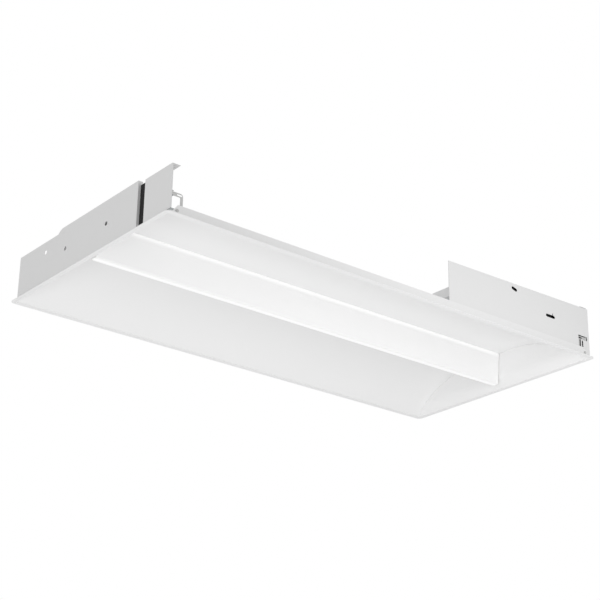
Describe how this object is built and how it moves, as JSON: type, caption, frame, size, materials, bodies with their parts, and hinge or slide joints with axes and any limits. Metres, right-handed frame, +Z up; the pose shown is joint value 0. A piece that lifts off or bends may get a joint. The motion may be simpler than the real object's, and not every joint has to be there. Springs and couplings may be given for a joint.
{
  "type": "recessed troffer light",
  "caption": "Recessed lay-in ceiling light with two arched white wings, a thin centre lens that pulls down, swinging grid clips and a hinged driver box.",
  "frame": {"origin": "middle of the face, on the plane of the ceiling grid under the flanges", "axes": "X along the light, left to right; Y from the near long side to the far one; Z up"},
  "size_m": [1.213, 0.603, 0.126],
  "materials": {
    "white_enamel": "satin",
    "grey_enamel": "satin",
    "zinc_steel": "satin",
    "spring_steel": "satin",
    "bare_aluminium": "satin",
    "lens_acrylic": "satin",
    "board_mask": "matte",
    "connector_plastic": "matte",
    "driver_case": "satin",
    "lead_insulation": "matte",
    "black_rubber": "matte",
    "black_foam": "matte",
    "green_screw": "satin"
  },
  "bodies": {
    "housing": {"near_rail": "white_enamel", "far_rail": "white_enamel", "left_rail": "white_enamel", "right_rail": "white_enamel", "near_wing": "white_enamel", "far_wing": "white_enamel", "left_end_wall": "white_enamel", "right_end_wall": "white_enamel", "left_end_plate": "grey_enamel", "left_corner_plate": "grey_enamel", "right_end_plate": "grey_enamel", "near_side_panel": "grey_enamel", "far_side_panel": "grey_enamel", "panel_rivets": "zinc_steel", "wing_rivets": "zinc_steel", "spine_channel": "zinc_steel", "led_carrier": "bare_aluminium", "carrier_screws": "zinc_steel", "board_screws": "zinc_steel", "board_links": "connector_plastic", "feed_connector": "connector_plastic", "led_board_1": "board_mask", "led_board_2": "board_mask", "led_board_3": "board_mask", "led_board_4": "board_mask", "lens_springs": "spring_steel", "clip_brackets": "zinc_steel", "clip_pins": "zinc_steel", "corner_keys": "zinc_steel", "corner_screws": "zinc_steel", "driver_box": "zinc_steel", "hinge_pins": "zinc_steel", "driver": "driver_case", "driver_screws": "zinc_steel", "input_terminal": "connector_plastic", "output_terminal": "connector_plastic", "wire_connectors": "connector_plastic", "supply_leads": "lead_insulation", "led_leads": "lead_insulation", "grommet": "black_rubber", "groove_foam": "black_foam", "wireway": "zinc_steel", "ground_screw": "green_screw"},
    "lens_body": {"lens": "lens_acrylic", "left_lens_cap": "lens_acrylic", "right_lens_cap": "lens_acrylic"},
    "clip_near_left": {"grid_clip_near_left": "grey_enamel"},
    "clip_near_right": {"grid_clip_near_right": "grey_enamel"},
    "clip_far_left": {"grid_clip_far_left": "grey_enamel"},
    "clip_far_right": {"grid_clip_far_right": "grey_enamel"},
    "cover": {"driver_box_cover": "zinc_steel", "cover_screw": "zinc_steel"}
  },
  "joints": [
    {"name": "lens_pull_down", "type": "slide", "parent": "housing", "child": "lens_body", "axis": [0, 0, -1], "range_m": [0, 0.095]},
    {"name": "clip_near_left_swing", "type": "hinge", "parent": "housing", "child": "clip_near_left", "pos_m": [-0.5885, -0.288, 0.046], "axis": [0, 0, -1], "range_deg": [0, 90]},
    {"name": "clip_near_right_swing", "type": "hinge", "parent": "housing", "child": "clip_near_right", "pos_m": [0.5885, -0.288, 0.046], "axis": [0, 0, 1], "range_deg": [0, 90]},
    {"name": "clip_far_left_swing", "type": "hinge", "parent": "housing", "child": "clip_far_left", "pos_m": [-0.5885, 0.288, 0.046], "axis": [0, 0, 1], "range_deg": [0, 90]},
    {"name": "clip_far_right_swing", "type": "hinge", "parent": "housing", "child": "clip_far_right", "pos_m": [0.5885, 0.288, 0.046], "axis": [0, 0, -1], "range_deg": [0, 90]},
    {"name": "cover_hinge", "type": "hinge", "parent": "housing", "child": "cover", "pos_m": [0.4, -0.1977, 0.1146], "axis": [-1, 0, 0], "range_deg": [0, 110]}
  ]
}
